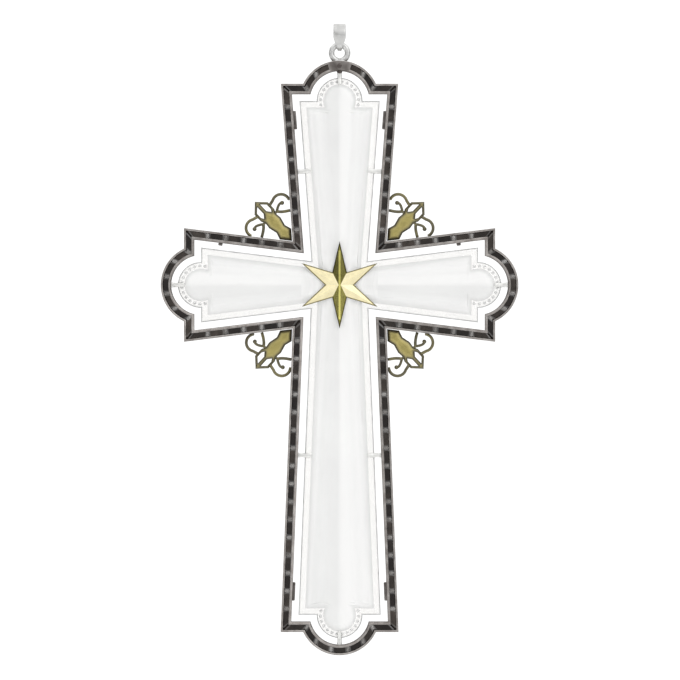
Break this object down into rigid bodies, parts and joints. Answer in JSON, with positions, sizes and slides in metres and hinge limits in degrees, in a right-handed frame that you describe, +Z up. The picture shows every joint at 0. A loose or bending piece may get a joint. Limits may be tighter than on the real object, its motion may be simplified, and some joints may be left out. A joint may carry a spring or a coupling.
{
  "type": "cross ornament",
  "caption": "Crystal cross held by claws in an open frame set with dark oblong stones, with a gold star on the crossing, a gold fleuron in each angle and a folded bail at the top.",
  "frame": {"origin": "inside top of the bail, where a cord or hook bears", "axes": "+Z up along the cross's upright, -Y out of its carved front, +X to the right as seen from the front"},
  "size_m": [0.068, 0.0049, 0.12],
  "materials": {
    "blackened_silver": "blackened silver",
    "silver": "polished silver",
    "gold": "polished gold",
    "dark_stone": "polished near-black stone, opaque",
    "crystal": "milky carved crystal"
  },
  "bodies": {
    "root": {"frame": "blackened_silver", "crystal_cross": "crystal", "star": "gold", "bail": "silver", "fleuron_lower_left": "gold", "fleuron_lower_right": "gold", "fleuron_upper_left": "gold", "fleuron_upper_right": "gold", "stones_left_arm_bottom_side": "dark_stone", "stones_left_arm_top_side": "dark_stone", "stones_left_end": "dark_stone", "stones_lower_arm_left_side": "dark_stone", "stones_lower_arm_right_side": "dark_stone", "stones_lower_end": "dark_stone", "stones_right_arm_bottom_side": "dark_stone", "stones_right_arm_top_side": "dark_stone", "stones_right_end": "dark_stone", "stones_upper_arm_left_side": "dark_stone", "stones_upper_arm_right_side": "dark_stone", "stones_upper_end": "dark_stone"}
  },
  "joints": []
}
